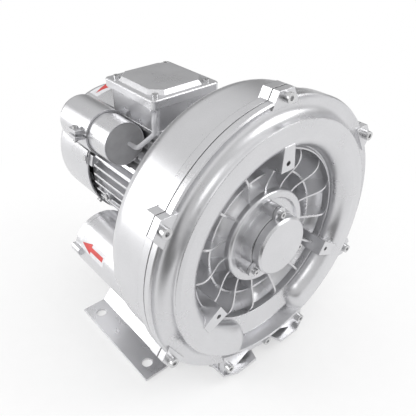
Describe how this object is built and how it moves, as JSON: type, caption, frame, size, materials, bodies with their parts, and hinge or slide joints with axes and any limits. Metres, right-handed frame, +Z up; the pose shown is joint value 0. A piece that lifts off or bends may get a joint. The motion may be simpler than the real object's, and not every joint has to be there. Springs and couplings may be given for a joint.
{
  "type": "side channel blower",
  "caption": "Side channel blower on a bent sheet foot: ribbed round cover, two rear ports, finned motor with fan cowl, terminal box and run capacitor.",
  "frame": {"origin": "centre of the four foot holes, on the ground face of the foot", "axes": "+Z up, -Y towards the round cover, +Y along the shaft towards the fan cowl and out of the ports, +X to the right seen from the cover"},
  "size_m": [0.306, 0.335, 0.3365],
  "materials": {
    "cast_silver": "satin metallic paint on a casting",
    "sheet_silver": "satin metallic paint on sheet steel",
    "zinc": "bright zinc plate",
    "can_metal": "drawn, bright",
    "cap_resin": "moulded resin",
    "lead_sheath": "smooth sheath",
    "seal_rubber": "matte",
    "gasket_sheet": "matte",
    "foam": "open-cell foam",
    "bearing_steel": "ground and polished",
    "shaft_steel": "turned",
    "impeller_metal": "bare casting",
    "core_steel": "stacked sheet",
    "copper": "varnished wire",
    "fan_plastic": "moulded",
    "block_plastic": "moulded",
    "gland_plastic": "moulded"
  },
  "bodies": {
    "housing": {"front_cover": "cast_silver", "housing_gasket": "gasket_sheet", "rear_housing": "cast_silver", "cover_screws": "zinc", "hub_cap": "cast_silver", "hub_cap_gasket": "gasket_sheet", "hub_cap_screws": "zinc", "port_tube_left": "cast_silver", "port_tube_right": "cast_silver", "port_flange_left": "cast_silver", "port_flange_right": "cast_silver", "port_flange_screws": "zinc", "silencer_insert_left": "foam", "silencer_insert_right": "foam", "front_shaft_seal": "seal_rubber", "rear_shaft_seal": "seal_rubber", "front_bearing_outer_ring": "bearing_steel", "rear_bearing_outer_ring": "bearing_steel", "motor_frame": "cast_silver", "motor_flange_screws": "zinc", "earth_screw": "zinc", "stator_core": "core_steel", "stator_windings": "copper", "rear_end_shield": "cast_silver", "shield_screws": "zinc", "fan_cowl": "sheet_silver", "cowl_screws": "zinc", "capacitor_can": "can_metal", "capacitor_cap": "cap_resin", "capacitor_roll": "block_plastic", "capacitor_lead": "lead_sheath", "lead_grommet": "seal_rubber", "clamp_screw": "zinc", "clamp_nut": "zinc", "terminal_box": "cast_silver", "box_screws": "zinc", "terminal_box_gasket": "seal_rubber", "terminal_box_lid": "cast_silver", "lid_screws": "zinc", "terminal_block": "block_plastic", "terminal_screws": "zinc", "cable_gland": "gland_plastic", "gland_nut": "gland_plastic", "foot_plate": "sheet_silver", "foot_bolts": "zinc"},
    "rotor": {"shaft": "shaft_steel", "impeller": "impeller_metal", "impeller_key": "shaft_steel", "impeller_circlip": "shaft_steel", "front_bearing_inner_ring": "bearing_steel", "rear_bearing_inner_ring": "bearing_steel", "rotor_core": "core_steel", "rotor_end_rings": "impeller_metal", "cooling_fan": "fan_plastic", "fan_circlip": "shaft_steel"},
    "front_ball_set": {"front_bearing_balls": "bearing_steel", "front_bearing_cage": "bearing_steel"},
    "rear_ball_set": {"rear_bearing_balls": "bearing_steel", "rear_bearing_cage": "bearing_steel"}
  },
  "joints": [
    {"name": "rotor_spin", "type": "hinge", "parent": "housing", "child": "rotor", "pos_m": [0, -0.088, 0.175], "axis": [0, 1, 0], "continuous": true},
    {"name": "front_balls_spin", "type": "hinge", "parent": "housing", "child": "front_ball_set", "pos_m": [0, -0.123, 0.175], "axis": [0, 1, 0], "continuous": true},
    {"name": "rear_balls_spin", "type": "hinge", "parent": "housing", "child": "rear_ball_set", "pos_m": [0, 0.105, 0.175], "axis": [0, 1, 0], "continuous": true}
  ],
  "couplings": [
    {"joint": "front_balls_spin", "follows": "rotor_spin", "ratio": 0.384},
    {"joint": "rear_balls_spin", "follows": "rotor_spin", "ratio": 0.384}
  ]
}
